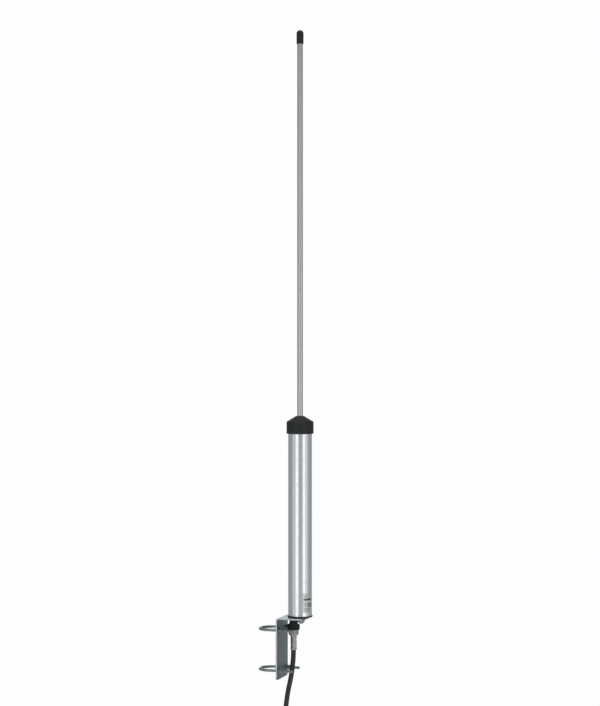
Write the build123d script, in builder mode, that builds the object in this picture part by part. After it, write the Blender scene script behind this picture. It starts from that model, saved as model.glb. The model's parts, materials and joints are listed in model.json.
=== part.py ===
"""Base-station omnidirectional antenna on its mast bracket, with a short feeder tail.

Millimetres, +Z up. The origin is on the axis of the mast that the two U-bolts clamp, half way
between them, and +X points from the mast to the antenna.
"""

from build123d import *
import math
import os

os.makedirs("parts", exist_ok=True)

# Mast bracket: one folded plate, with a wall against the mast and a shelf under the antenna
mast_diameter = 42.4
plate_thickness = 3.0
bracket_width = 76.0
bracket_drop = 130.0
shelf_reach = 60.0
bend_radius = 3.0
plate_corner_radius = 7.0
antenna_reach = 38.8

# U-bolt clamps
rod_diameter = 6.0
u_bolt_side_gap = 1.3
u_bolt_spacing = 85.0
upper_u_bolt_drop = 27.0
rod_reach = 29.8
rod_hole_clearance = 0.5
rod_thread_clearance = 0.05
rod_chamfer = 0.8
nut_flats = 10.0
nut_height = 5.0
washer_radius = 6.0
washer_thickness = 1.6
spring_washer_radius = 5.4
spring_washer_thickness = 1.6
spring_washer_gap = 1.0
washer_clearance = 0.2
washer_chamfer_share = 0.15
hex_corner_angle = 30.0

# Stud and nut that hold the antenna to the shelf
bolt_diameter = 8.0
bolt_length = 20.0
bolt_flats = 13.0
bolt_nut_height = 6.5
bolt_stand_out = 2.6
bolt_washer_radius = 8.5
bolt_washer_thickness = 1.6
bolt_spring_radius = 7.2
bolt_spring_thickness = 2.0
bolt_hole_clearance = 0.5
bolt_socket_gap = 3.5

# Base tube, its plug and its seals
tube_diameter = 50.0
tube_wall = 2.0
tube_exposed = 382.0
plug_height = 22.0
plug_clearance = 0.05
boss_height = 14.0
boss_clearance = 0.05
gasket_stand_out = 1.0
gasket_height = 3.0
gasket_rim_radius = 0.75
o_ring_section = 2.6
o_ring_squeeze = 0.2
o_ring_corner_share = 0.45
o_ring_height = 17.5
tube_screw_diameter = 4.0
tube_screw_head_radius = 3.5
tube_screw_head_height = 2.4
tube_screw_crown_radius = 1.4
tube_screw_key_flats = 2.5
tube_screw_key_depth = 1.5
tube_screw_depth = 8.0
tube_screw_height = 9.0
tube_screw_angles = (60.0, 150.0)
tube_screw_clearance = 0.1
label_thickness = 0.15
label_angle = -28.0
label_arc = 72.0
label_height = 41.0
label_rise = 8.0

# Matching section inside the tube
conductor_wall = 0.95
conductor_screw_diameter = 3.0
spacer_thickness = 6.0
spacer_clearance = 0.1
spacer_heights = (150.0, 270.0)
spacer_hole_radius = 4.0
spacer_hole_pitch = 15.0
spacer_hole_count = 3
tap_height = 62.0
tap_band_height = 8.0
tap_band_wall = 2.0
tap_lug_width = 6.0
tap_ear_reach = 9.0
tap_ear_width = 7.0
tap_gap = 1.6
tap_screw_diameter = 3.0
tap_screw_length = 12.0
tap_screw_head_radius = 2.75
tap_screw_head_height = 2.0
tap_nut_flats = 5.5
tap_nut_height = 2.4
feed_wire_diameter = 2.4

# Hood, whip and the joint between them
hood_stand_out = 3.5
hood_skirt = 25.7
hood_cone_slope = 30.5
hood_lip = 2.2
hood_wall = 3.0
hood_shoulder_radius = 3.5
hood_rim_radius = 2.0
hood_mouth_radius = 1.0
hood_clearance = 0.1
tube_in_hood = 14.0
insulator_flange = 3.0
insulator_depth = 18.0
collar_radius = 11.0
collar_height = 12.0
collar_clearance = 0.05
collar_chamfer = 0.7
grub_screw_diameter = 4.0
grub_screw_length = 5.0
whip_diameter = 12.0
whip_wall = 1.5
whip_exposed = 782.7
whip_overlap = 30.0
whip_clearance = 0.05
seal_section = 1.8
tip_cap_wall = 1.35
tip_cap_height = 29.0
tip_cap_depth = 24.0
tip_cap_crown_radius = 6.9
tip_cap_rim_radius = 0.6

# Panel socket in the base plug, and the crimp plugs of the feeder tail
socket_angle = 210.0
socket_rim_gap = 2.6
socket_thread_radius = 7.95
socket_length = 22.0
socket_spigot_radius = 6.5
socket_spigot_height = 12.0
socket_bore_radius = 6.2
socket_bore_depth = 3.2
socket_insulator_radius = 4.4
socket_hole_clearance = 0.35
socket_seal_clearance = 0.05
socket_seal_wall = 0.85
socket_seal_gap = 0.2
socket_seal_rim_radius = 0.35
contact_radius = 3.0
contact_bore_depth = 9.0
contact_tail_radius = 1.9
contact_tail_height = 26.0
pin_radius = 2.0
pin_shank_radius = 1.6
pin_length = 11.0
pin_clearance = 0.03
coupling_radius = 10.7
coupling_thread_radius = 8.0
coupling_front = 8.0
coupling_back = 13.5
coupling_taper = 3.0
coupling_taper_radius = 8.6
coupling_clearance = 0.2
grip_radius = 12.9
grip_front = 7.0
grip_length = 11.3
grip_chamfer = 0.6
plug_collar_radius = 6.0
plug_collar_length = 1.8
plug_flange_radius = 7.4
plug_flange_length = 2.5
plug_body_radius = 6.5
plug_body_length = 17.0
plug_mandrel_radius = 4.1
plug_mandrel_length = 15.0
plug_insulator_radius = 5.0
plug_insulator_length = 8.0
plug_core_clearance = 1.25
ferrule_length = 29.8
ferrule_wall = 1.25
face_gap = 0.2

# Feeder tail
cable_diameter = 10.3
cable_end_inset = 33.0
corner_share = 0.45
line_plug_stand_off = 15.0
line_plug_side = -5.5
line_plug_level = -390.0

# Levels and places that follow from the sizes above
mast_radius = mast_diameter / 2
plate_back = mast_radius
plate_face = plate_back + plate_thickness
shelf_top = upper_u_bolt_drop + u_bolt_spacing / 2
shelf_under = shelf_top - plate_thickness
plate_bottom = shelf_top - bracket_drop
shelf_end = plate_back + shelf_reach
antenna_x = plate_face + antenna_reach
rod_radius = rod_diameter / 2
rod_offset = mast_radius + u_bolt_side_gap + rod_radius
rod_end = plate_face + rod_reach
bend_centre = u_bolt_side_gap
tube_radius = tube_diameter / 2
tube_bore = tube_radius - tube_wall
gasket_radius = tube_radius + gasket_stand_out
tube_bottom = shelf_top + gasket_height
hood_bottom = tube_bottom + tube_exposed
tube_top = hood_bottom + tube_in_hood
collar_bottom = tube_top + insulator_flange
collar_top = collar_bottom + collar_height
conductor_bottom = shelf_top + plug_height
whip_radius = whip_diameter / 2
conductor_bore = whip_radius + whip_clearance
conductor_radius = conductor_bore + conductor_wall
hood_radius = tube_radius + hood_stand_out
hood_top_radius = whip_radius + hood_lip
tip_cap_radius = whip_radius + whip_clearance + tip_cap_wall
hood_shoulder = hood_bottom + hood_skirt
hood_top = hood_shoulder + (hood_radius - hood_top_radius) * math.tan(math.radians(hood_cone_slope))
whip_visible_top = hood_top + whip_exposed
tip_top = whip_visible_top + tip_cap_height
whip_top = whip_visible_top + tip_cap_depth
whip_bottom = collar_top - whip_overlap
socket_distance = tube_bore - socket_spigot_radius - socket_rim_gap
socket_x = antenna_x + socket_distance * math.cos(math.radians(socket_angle))
socket_y = socket_distance * math.sin(math.radians(socket_angle))
bolt_spread = bolt_washer_radius + socket_thread_radius + bolt_socket_gap
bolt_x = antenna_x
bolt_y = socket_y + math.sqrt(bolt_spread**2 - (bolt_x - socket_x) ** 2)
feeder_plug_seat = (socket_x, socket_y, shelf_top - socket_length)
line_plug_x = plate_back + line_plug_stand_off
line_plug_seat = (line_plug_x, line_plug_side, line_plug_level)
cable_radius = cable_diameter / 2
ferrule_radius = cable_radius + face_gap / 2 + ferrule_wall

antenna_axis = Axis((antenna_x, 0, 0), (0, 0, 1))
antenna_section = Plane(origin=(antenna_x, 0, 0), x_dir=(1, 0, 0), z_dir=(0, -1, 0))


# ---------------------------------------------------------------- fasteners made more than once


def rims(piece, radius):
    """The piece's circular edges of that radius, lowest first."""
    circles = piece.edges().filter_by(GeomType.CIRCLE)
    return circles.filter_by(lambda edge: abs(edge.radius - radius) < 0.01).sort_by(Axis.Z)


def hex_piece(seat, flats, height, bore_radius=0.0):
    """A hexagon with its corners turned down, standing on the plane seat."""
    corner = flats / math.sqrt(3)
    drop = (corner - flats / 2) * math.tan(math.radians(hex_corner_angle))
    with BuildPart() as piece:
        with BuildSketch(seat):
            RegularPolygon(flats / 2, 6, major_radius=False)
            if bore_radius:
                Circle(bore_radius, mode=Mode.SUBTRACT)
        extrude(amount=height)
        upright = Plane(origin=seat.origin, x_dir=seat.x_dir, z_dir=-seat.y_dir)
        with BuildSketch(upright):
            with BuildLine():
                Polyline(
                    (0, 0),
                    (flats / 2, 0),
                    (corner, drop),
                    (corner, height - drop),
                    (flats / 2, height),
                    (0, height),
                    close=True,
                )
            make_face()
        revolve(axis=Axis(seat.origin, seat.z_dir), mode=Mode.INTERSECT)
    return piece.part


def washer(seat, radius, bore_radius, thickness):
    """A flat washer standing on the plane seat."""
    with BuildPart() as piece:
        with BuildSketch(seat):
            Circle(radius)
            Circle(bore_radius, mode=Mode.SUBTRACT)
        extrude(amount=thickness)
        chamfer(rims(piece, radius), thickness * washer_chamfer_share)
    return piece.part


def spring_washer(seat, radius, bore_radius, thickness):
    """A split spring washer, flattened, standing on the plane seat."""
    with BuildPart() as piece:
        with BuildSketch(seat):
            Circle(radius)
            Circle(bore_radius, mode=Mode.SUBTRACT)
            with Locations((radius, 0)):
                Rectangle(2 * radius, spring_washer_gap, mode=Mode.SUBTRACT)
        extrude(amount=thickness)
    return piece.part


# ---------------------------------------------------------------------------------- mast bracket

with BuildPart() as bracket:
    with BuildSketch(Plane.XZ):
        with BuildLine():
            Polyline(
                (plate_back, plate_bottom),
                (plate_back, shelf_top),
                (shelf_end, shelf_top),
                (shelf_end, shelf_under),
                (plate_face, shelf_under),
                (plate_face, plate_bottom),
                close=True,
            )
        make_face()
    extrude(amount=bracket_width / 2, both=True)
    folds = bracket.edges().filter_by(Axis.Y)
    fillet(folds.sort_by_distance((plate_face, 0, shelf_under))[0], bend_radius)
    folds = bracket.edges().filter_by(Axis.Y)
    fillet(folds.sort_by_distance((plate_back, 0, shelf_top))[0], bend_radius + plate_thickness)
    fillet(bracket.edges().filter_by(Axis.X).group_by(Axis.Z)[0], plate_corner_radius)
    fillet(bracket.edges().filter_by(Axis.Z).group_by(Axis.X)[-1], plate_corner_radius)
    with BuildSketch(Plane.YZ.offset(plate_back)):
        with GridLocations(2 * rod_offset, u_bolt_spacing, 2, 2):
            Circle(rod_radius + rod_hole_clearance)
    extrude(amount=plate_thickness, mode=Mode.SUBTRACT)
    with BuildSketch(Plane.XY.offset(shelf_under)):
        with Locations((socket_x, socket_y)):
            Circle(socket_thread_radius + socket_hole_clearance)
        with Locations((bolt_x, bolt_y)):
            Circle(bolt_diameter / 2 + bolt_hole_clearance)
    extrude(amount=plate_thickness, mode=Mode.SUBTRACT)
bracket.part.label = "bracket"
export_step(bracket.part, "parts/bracket.step")

# ------------------------------------------------------------------------------- U-bolt clamps

washer_seat = plate_face
spring_washer_seat = washer_seat + washer_thickness
nut_seat = spring_washer_seat + spring_washer_thickness
flat_washers = []
split_washers = []
for level, height in (("upper", u_bolt_spacing / 2), ("lower", -u_bolt_spacing / 2)):
    with BuildPart() as u_bolt:
        with BuildLine(Plane.XY.offset(height)) as bend:
            Line((rod_end, -rod_offset), (bend_centre, -rod_offset))
            ThreePointArc(
                (bend_centre, -rod_offset),
                (bend_centre - rod_offset, 0),
                (bend_centre, rod_offset),
            )
            Line((bend_centre, rod_offset), (rod_end, rod_offset))
        with BuildSketch(Plane(origin=(rod_end, -rod_offset, height), z_dir=(-1, 0, 0))):
            Circle(rod_radius)
        sweep()
        tips = u_bolt.edges().filter_by(GeomType.CIRCLE).group_by(Axis.X)[-1]
        chamfer(tips, rod_chamfer)
    u_bolt.part.label = f"{level}_u_bolt"
    export_step(u_bolt.part, f"parts/{level}_u_bolt.step")

    for side, y in (("near", -rod_offset), ("far", rod_offset)):
        seats = [
            Plane(origin=(x, y, height), x_dir=(0, 1, 0), z_dir=(1, 0, 0))
            for x in (washer_seat, spring_washer_seat, nut_seat)
        ]
        rod_hole = rod_radius + washer_clearance
        flat_washers.append(washer(seats[0], washer_radius, rod_hole, washer_thickness))
        split_washers.append(
            spring_washer(seats[1], spring_washer_radius, rod_hole, spring_washer_thickness)
        )
        nut = hex_piece(seats[2], nut_flats, nut_height, rod_radius + rod_thread_clearance)
        nut.label = f"{level}_{side}_nut"
        export_step(nut, f"parts/{level}_{side}_nut.step")

clamp_washers = Compound(children=flat_washers, label="clamp_washers")
export_step(clamp_washers, "parts/clamp_washers.step")
clamp_spring_washers = Compound(children=split_washers, label="clamp_spring_washers")
export_step(clamp_spring_washers, "parts/clamp_spring_washers.step")

# ------------------------------------------------------------- stud and nut under the shelf

bolt_washer_level = shelf_under
bolt_spring_level = bolt_washer_level - bolt_washer_thickness
bolt_nut_level = bolt_spring_level - bolt_spring_thickness
bolt_seat = Plane(origin=(bolt_x, bolt_y, bolt_nut_level))
bolt_tip = bolt_nut_level + bolt_length
bolt_hole = bolt_diameter / 2 + washer_clearance
bolt_foot = bolt_nut_height + bolt_stand_out

with BuildPart() as antenna_stud:
    with BuildSketch(bolt_seat.offset(-bolt_foot)):
        Circle(bolt_diameter / 2)
    extrude(amount=bolt_foot + bolt_length)
    chamfer(antenna_stud.edges().filter_by(GeomType.CIRCLE), rod_chamfer)
antenna_stud.part.label = "antenna_stud"
export_step(antenna_stud.part, "parts/antenna_stud.step")

bolt_nut_bore = bolt_diameter / 2 + rod_thread_clearance
nut_plane = bolt_seat.offset(-bolt_nut_height)
antenna_nut = hex_piece(nut_plane, bolt_flats, bolt_nut_height, bolt_nut_bore)
antenna_nut.label = "antenna_nut"
export_step(antenna_nut, "parts/antenna_nut.step")

washer_plane = Plane(origin=(bolt_x, bolt_y, bolt_spring_level))
bolt_washer = washer(washer_plane, bolt_washer_radius, bolt_hole, bolt_washer_thickness)
bolt_washer.label = "bolt_washer"
export_step(bolt_washer, "parts/bolt_washer.step")

bolt_spring_washer = spring_washer(
    bolt_seat, bolt_spring_radius, bolt_hole, bolt_spring_thickness
)
bolt_spring_washer.label = "bolt_spring_washer"
export_step(bolt_spring_washer, "parts/bolt_spring_washer.step")

# ------------------------------------------------------------------------ base tube and its plug

plug_radius = tube_bore - plug_clearance
groove_depth = o_ring_section - o_ring_squeeze
groove_floor = tube_bore - groove_depth
o_ring_level = shelf_top + o_ring_height
boss_radius = conductor_bore - boss_clearance
screw_level = shelf_top + tube_screw_height
screw_planes = [
    Plane(
        origin=(
            antenna_x + tube_radius * math.cos(math.radians(angle)),
            tube_radius * math.sin(math.radians(angle)),
            screw_level,
        ),
        z_dir=(math.cos(math.radians(angle)), math.sin(math.radians(angle)), 0),
    )
    for angle in tube_screw_angles
]

with BuildPart() as base_plug:
    with BuildSketch(antenna_section):
        with BuildLine():
            Polyline(
                (0, shelf_top),
                (plug_radius, shelf_top),
                (plug_radius, o_ring_level - o_ring_section / 2),
                (groove_floor, o_ring_level - o_ring_section / 2),
                (groove_floor, o_ring_level + o_ring_section / 2),
                (plug_radius, o_ring_level + o_ring_section / 2),
                (plug_radius, conductor_bottom),
                (boss_radius, conductor_bottom),
                (boss_radius, conductor_bottom + boss_height),
                (0, conductor_bottom + boss_height),
                close=True,
            )
        make_face()
    revolve(axis=antenna_axis)
    with BuildSketch(Plane.XY.offset(shelf_top)):
        with Locations((socket_x, socket_y)):
            Circle(socket_spigot_radius)
    extrude(amount=socket_spigot_height, mode=Mode.SUBTRACT)
    with BuildSketch(Plane.XY.offset(shelf_top)):
        with Locations((socket_x, socket_y)):
            Circle(socket_insulator_radius)
    extrude(amount=plug_height, mode=Mode.SUBTRACT)
    with BuildSketch(Plane.XY.offset(shelf_top)):
        with Locations((bolt_x, bolt_y)):
            Circle(bolt_diameter / 2)
    extrude(amount=bolt_tip - shelf_top + rod_chamfer, mode=Mode.SUBTRACT)
    for plane in screw_planes:
        with BuildSketch(plane):
            Circle(tube_screw_diameter / 2)
        extrude(amount=-tube_screw_depth, mode=Mode.SUBTRACT)
    foot_level = conductor_bottom + boss_height / 2
    with BuildSketch(Plane(origin=(antenna_x, 0, foot_level), z_dir=(1, 0, 0))):
        Circle(conductor_screw_diameter / 2)
    extrude(amount=conductor_radius, mode=Mode.SUBTRACT)
base_plug.part.label = "base_plug"
export_step(base_plug.part, "parts/base_plug.step")

with BuildPart() as base_gasket:
    with BuildSketch(Plane.XY.offset(shelf_top)):
        with Locations((antenna_x, 0)):
            Circle(gasket_radius)
            Circle(tube_bore, mode=Mode.SUBTRACT)
    extrude(amount=gasket_height)
    fillet(rims(base_gasket, gasket_radius), gasket_rim_radius)
base_gasket.part.label = "base_gasket"
export_step(base_gasket.part, "parts/base_gasket.step")

o_ring_width = groove_depth - plug_clearance
with BuildPart() as base_o_ring:
    with BuildSketch(antenna_section):
        with Locations((groove_floor + groove_depth / 2, o_ring_level)):
            RectangleRounded(
                o_ring_width,
                o_ring_section - plug_clearance,
                o_ring_width * o_ring_corner_share,
            )
    revolve(axis=antenna_axis)
base_o_ring.part.label = "base_o_ring"
export_step(base_o_ring.part, "parts/base_o_ring.step")

with BuildPart() as base_tube:
    with BuildSketch(Plane.XY.offset(tube_bottom)):
        with Locations((antenna_x, 0)):
            Circle(tube_radius)
            Circle(tube_bore, mode=Mode.SUBTRACT)
    extrude(amount=tube_top - tube_bottom)
    for plane in screw_planes:
        with BuildSketch(plane):
            Circle(tube_screw_diameter / 2 + tube_screw_clearance)
        extrude(amount=2 * tube_wall, both=True, mode=Mode.SUBTRACT)
base_tube.part.label = "base_tube"
export_step(base_tube.part, "parts/base_tube.step")

tube_screw_pieces = []
for plane in screw_planes:
    with BuildPart() as screw:
        with BuildSketch(plane.offset(-tube_screw_depth)):
            Circle(tube_screw_diameter / 2)
        extrude(amount=tube_screw_depth)
        with BuildSketch(plane):
            Circle(tube_screw_head_radius)
        extrude(amount=tube_screw_head_height)
        crown = screw.edges().sort_by(Axis(plane.origin, plane.z_dir))[-1]
        fillet(crown, tube_screw_crown_radius)
        with BuildSketch(plane.offset(tube_screw_head_height)):
            RegularPolygon(tube_screw_key_flats / 2, 6, major_radius=False)
        extrude(amount=-tube_screw_key_depth, mode=Mode.SUBTRACT)
    tube_screw_pieces.append(screw.part)
tube_screws = Compound(children=tube_screw_pieces, label="tube_screws")
export_step(tube_screws, "parts/tube_screws.step")

label_level = tube_bottom + label_rise
label_start = label_angle - label_arc / 2
with BuildPart() as label:
    with BuildSketch(Plane.XY.offset(label_level)):
        with BuildLine():
            inner = CenterArc((antenna_x, 0), tube_radius, label_start, label_arc)
            outer = CenterArc((antenna_x, 0), tube_radius + label_thickness, label_start, label_arc)
            Line(inner @ 0, outer @ 0)
            Line(inner @ 1, outer @ 1)
        make_face()
    extrude(amount=label_height)
label.part.label = "label"
export_step(label.part, "parts/label.step")

# ------------------------------------------------------------- matching section inside the tube

with BuildPart() as inner_conductor:
    with BuildSketch(Plane.XY.offset(conductor_bottom)):
        with Locations((antenna_x, 0)):
            Circle(conductor_radius)
            Circle(conductor_bore, mode=Mode.SUBTRACT)
    extrude(amount=collar_top - conductor_bottom)
    with BuildSketch(Plane(origin=(antenna_x, 0, foot_level), z_dir=(1, 0, 0))):
        Circle(conductor_screw_diameter / 2)
    extrude(amount=2 * conductor_radius, mode=Mode.SUBTRACT)
    grub_level = collar_bottom + collar_height / 2
    with BuildSketch(Plane(origin=(antenna_x, 0, grub_level), z_dir=(0, 1, 0))):
        Circle(grub_screw_diameter / 2)
    extrude(amount=2 * conductor_radius, both=True, mode=Mode.SUBTRACT)
inner_conductor.part.label = "inner_conductor"
export_step(inner_conductor.part, "parts/inner_conductor.step")

with BuildPart() as conductor_screw:
    with BuildSketch(Plane(origin=(antenna_x, 0, foot_level), z_dir=(1, 0, 0))):
        Circle(conductor_screw_diameter / 2)
    extrude(amount=conductor_radius)
conductor_screw.part.label = "conductor_screw"
export_step(conductor_screw.part, "parts/conductor_screw.step")

spacer_pieces = []
for height in spacer_heights:
    with BuildPart() as spacer:
        with BuildSketch(Plane.XY.offset(shelf_top + height)):
            with Locations((antenna_x, 0)):
                Circle(tube_bore - spacer_clearance)
                Circle(conductor_radius + spacer_clearance, mode=Mode.SUBTRACT)
                with PolarLocations(spacer_hole_pitch, spacer_hole_count):
                    Circle(spacer_hole_radius, mode=Mode.SUBTRACT)
        extrude(amount=spacer_thickness)
    spacer_pieces.append(spacer.part)
stub_spacers = Compound(children=spacer_pieces, label="stub_spacers")
export_step(stub_spacers, "parts/stub_spacers.step")

tap_level = shelf_top + tap_height
tap_outer = conductor_radius + tap_band_wall
feed_direction = Vector(1, 0, 0).rotate(Axis.Z, socket_angle)
tap_plane = Plane(origin=(antenna_x, 0, tap_level), x_dir=feed_direction, z_dir=(0, 0, 1))
lug_length = socket_distance + tap_lug_width / 2
ear_start = -tap_outer - tap_ear_reach
ear_screw_x = -tap_outer - tap_ear_reach / 2
with BuildPart() as tap_clamp:
    with BuildSketch(tap_plane):
        Circle(tap_outer)
        with Locations((lug_length / 2, 0)):
            Rectangle(lug_length, tap_lug_width)
        with Locations((ear_start / 2, 0)):
            Rectangle(-ear_start, tap_ear_width)
        Circle(conductor_radius, mode=Mode.SUBTRACT)
        with Locations((ear_start / 2, 0)):
            Rectangle(-ear_start, tap_gap, mode=Mode.SUBTRACT)
        with Locations((socket_distance, 0)):
            Circle(feed_wire_diameter / 2, mode=Mode.SUBTRACT)
    extrude(amount=tap_band_height)
    ear_plane = Plane(
        origin=tap_plane.from_local_coords(Vector(ear_screw_x, 0, tap_band_height / 2)),
        x_dir=(0, 0, 1),
        z_dir=tap_plane.y_dir,
    )
    with BuildSketch(ear_plane):
        Circle(tap_screw_diameter / 2)
    extrude(amount=tap_ear_width, both=True, mode=Mode.SUBTRACT)
tap_clamp.part.label = "tap_clamp"
export_step(tap_clamp.part, "parts/tap_clamp.step")

with BuildPart() as tap_screw:
    with BuildSketch(ear_plane.offset(tap_ear_width / 2)):
        Circle(tap_screw_head_radius)
    extrude(amount=tap_screw_head_height)
    with BuildSketch(ear_plane.offset(tap_ear_width / 2)):
        Circle(tap_screw_diameter / 2)
    extrude(amount=-tap_screw_length)
tap_screw.part.label = "tap_screw"
export_step(tap_screw.part, "parts/tap_screw.step")

tap_nut_origin = ear_plane.offset(-tap_ear_width / 2).origin
tap_nut_seat = Plane(origin=tap_nut_origin, x_dir=(0, 0, 1), z_dir=-ear_plane.z_dir)
tap_nut = hex_piece(tap_nut_seat, tap_nut_flats, tap_nut_height, tap_screw_diameter / 2)
tap_nut.label = "tap_nut"
export_step(tap_nut, "parts/tap_nut.step")

contact_top = shelf_top + contact_tail_height
with BuildPart() as feed_wire:
    with BuildSketch(Plane.XY.offset(contact_top)):
        with Locations((socket_x, socket_y)):
            Circle(feed_wire_diameter / 2)
    extrude(amount=tap_level + tap_band_height + feed_wire_diameter - contact_top)
feed_wire.part.label = "feed_wire"
export_step(feed_wire.part, "parts/feed_wire.step")

# ------------------------------------------------------------------------------- hood and whip

with BuildPart() as top_insulator:
    with BuildSketch(antenna_section):
        with BuildLine():
            Polyline(
                (conductor_radius + spacer_clearance, tube_top - insulator_depth),
                (tube_bore - spacer_clearance, tube_top - insulator_depth),
                (tube_bore - spacer_clearance, tube_top),
                (tube_radius, tube_top),
                (tube_radius, collar_bottom),
                (conductor_radius + spacer_clearance, collar_bottom),
                close=True,
            )
        make_face()
    revolve(axis=antenna_axis)
top_insulator.part.label = "top_insulator"
export_step(top_insulator.part, "parts/top_insulator.step")

with BuildPart() as whip_collar:
    with BuildSketch(Plane.XY.offset(collar_bottom)):
        with Locations((antenna_x, 0)):
            Circle(collar_radius)
            Circle(conductor_radius + collar_clearance, mode=Mode.SUBTRACT)
    extrude(amount=collar_height)
    chamfer(whip_collar.edges().group_by(Axis.Z)[-1], collar_chamfer)
    with BuildSketch(Plane(origin=(antenna_x, 0, grub_level), z_dir=(0, 1, 0))):
        Circle(grub_screw_diameter / 2)
    extrude(amount=2 * collar_radius, both=True, mode=Mode.SUBTRACT)
whip_collar.part.label = "whip_collar"
export_step(whip_collar.part, "parts/whip_collar.step")

grub_pieces = []
for side in (-1, 1):
    grub_plane = Plane(
        origin=(antenna_x, side * (whip_radius + whip_clearance), grub_level),
        z_dir=(0, side, 0),
    )
    with BuildPart() as grub:
        with BuildSketch(grub_plane):
            Circle(grub_screw_diameter / 2)
        extrude(amount=grub_screw_length)
        with BuildSketch(grub_plane.offset(grub_screw_length)):
            RegularPolygon(grub_screw_diameter / 4, 6, major_radius=False)
        extrude(amount=-grub_screw_length / 2, mode=Mode.SUBTRACT)
    grub_pieces.append(grub.part)
whip_grub_screws = Compound(children=grub_pieces, label="whip_grub_screws")
export_step(whip_grub_screws, "parts/whip_grub_screws.step")

cone_slope = math.tan(math.radians(hood_cone_slope))
hood_bore = tube_radius + hood_clearance
hood_ceiling = collar_bottom + hood_clearance
chamber_radius = hood_radius - hood_wall - hood_wall / 2
seal_radius = whip_radius + seal_section
chamber_top = hood_top - hood_wall - seal_section
chamber_corner = hood_shoulder + (hood_radius - chamber_radius) * cone_slope - hood_wall
chamber_rise = (chamber_top - chamber_corner) / cone_slope
with BuildPart() as hood:
    with BuildSketch(antenna_section):
        with BuildLine():
            Polyline(
                (hood_bore, hood_bottom),
                (hood_radius, hood_bottom),
                (hood_radius, hood_shoulder),
                (hood_top_radius, hood_top),
                (whip_radius + whip_clearance, hood_top),
                (whip_radius + whip_clearance, chamber_top + seal_section),
                (seal_radius, chamber_top + seal_section),
                (seal_radius, chamber_top),
                (chamber_radius - chamber_rise, chamber_top),
                (chamber_radius, chamber_corner),
                (chamber_radius, hood_ceiling),
                (hood_bore, hood_ceiling),
                close=True,
            )
        make_face()
    revolve(axis=antenna_axis)
    fillet(rims(hood, hood_radius)[-1], hood_shoulder_radius)
    fillet(rims(hood, hood_radius)[0], hood_rim_radius)
    fillet(rims(hood, hood_top_radius), hood_mouth_radius)
hood.part.label = "hood"
export_step(hood.part, "parts/hood.step")

with BuildPart() as whip_seal:
    with BuildSketch(Plane.XY.offset(chamber_top)):
        with Locations((antenna_x, 0)):
            Circle(seal_radius)
            Circle(whip_radius + whip_clearance, mode=Mode.SUBTRACT)
    extrude(amount=seal_section)
whip_seal.part.label = "whip_seal"
export_step(whip_seal.part, "parts/whip_seal.step")

with BuildPart() as whip:
    with BuildSketch(Plane.XY.offset(whip_bottom)):
        with Locations((antenna_x, 0)):
            Circle(whip_radius)
            Circle(whip_radius - whip_wall, mode=Mode.SUBTRACT)
    extrude(amount=whip_top - whip_bottom)
whip.part.label = "whip"
export_step(whip.part, "parts/whip.step")

with BuildPart() as whip_tip_cap:
    with BuildSketch(antenna_section):
        with BuildLine():
            Polyline(
                (whip_radius + whip_clearance, whip_visible_top),
                (tip_cap_radius, whip_visible_top),
                (tip_cap_radius, tip_top),
                (0, tip_top),
                (0, whip_top),
                (whip_radius + whip_clearance, whip_top),
                close=True,
            )
        make_face()
    revolve(axis=antenna_axis)
    fillet(rims(whip_tip_cap, tip_cap_radius)[-1], tip_cap_crown_radius)
    fillet(rims(whip_tip_cap, tip_cap_radius)[0], tip_cap_rim_radius)
whip_tip_cap.part.label = "whip_tip_cap"
export_step(whip_tip_cap.part, "parts/whip_tip_cap.step")

# ------------------------------------------------------------------------------- panel socket

socket_bottom = shelf_top - socket_length
socket_section = Plane(
    origin=(socket_x, socket_y, socket_bottom), x_dir=(1, 0, 0), z_dir=(0, -1, 0)
)
socket_axis = Axis((socket_x, socket_y, 0), (0, 0, 1))
socket_spigot_top = socket_length + socket_spigot_height
with BuildPart() as socket_body:
    with BuildSketch(socket_section):
        with BuildLine():
            Polyline(
                (socket_insulator_radius, socket_bore_depth),
                (socket_bore_radius, socket_bore_depth),
                (socket_bore_radius, 0),
                (socket_thread_radius, 0),
                (socket_thread_radius, socket_length),
                (socket_spigot_radius, socket_length),
                (socket_spigot_radius, socket_spigot_top),
                (socket_insulator_radius, socket_spigot_top),
                close=True,
            )
        make_face()
    revolve(axis=socket_axis)
    chamfer(rims(socket_body, socket_thread_radius)[0], rod_chamfer / 2)
socket_body.part.label = "socket_body"
export_step(socket_body.part, "parts/socket_body.step")

seal_bore = socket_thread_radius + socket_seal_clearance
seal_radius = seal_bore + socket_seal_wall
seal_foot = coupling_front + socket_seal_gap
seal_top = socket_length - plate_thickness
with BuildPart() as socket_seal:
    with BuildSketch(socket_section):
        with BuildLine():
            Polyline(
                (seal_bore, seal_foot),
                (seal_radius, seal_foot),
                (seal_radius, seal_top),
                (seal_bore, seal_top),
                close=True,
            )
        make_face()
    revolve(axis=socket_axis)
    fillet(rims(socket_seal, seal_radius)[0], socket_seal_rim_radius)
socket_seal.part.label = "socket_seal"
export_step(socket_seal.part, "parts/socket_seal.step")

insulator_top = socket_length + plug_height
contact_floor = socket_bore_depth + contact_bore_depth
with BuildPart() as socket_insulator:
    with BuildSketch(socket_section):
        with BuildLine():
            Polyline(
                (contact_radius, socket_bore_depth),
                (socket_insulator_radius, socket_bore_depth),
                (socket_insulator_radius, insulator_top),
                (contact_tail_radius, insulator_top),
                (contact_tail_radius, contact_floor + pin_radius),
                (contact_radius, contact_floor + pin_radius),
                close=True,
            )
        make_face()
    revolve(axis=socket_axis)
socket_insulator.part.label = "socket_insulator"
export_step(socket_insulator.part, "parts/socket_insulator.step")

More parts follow.
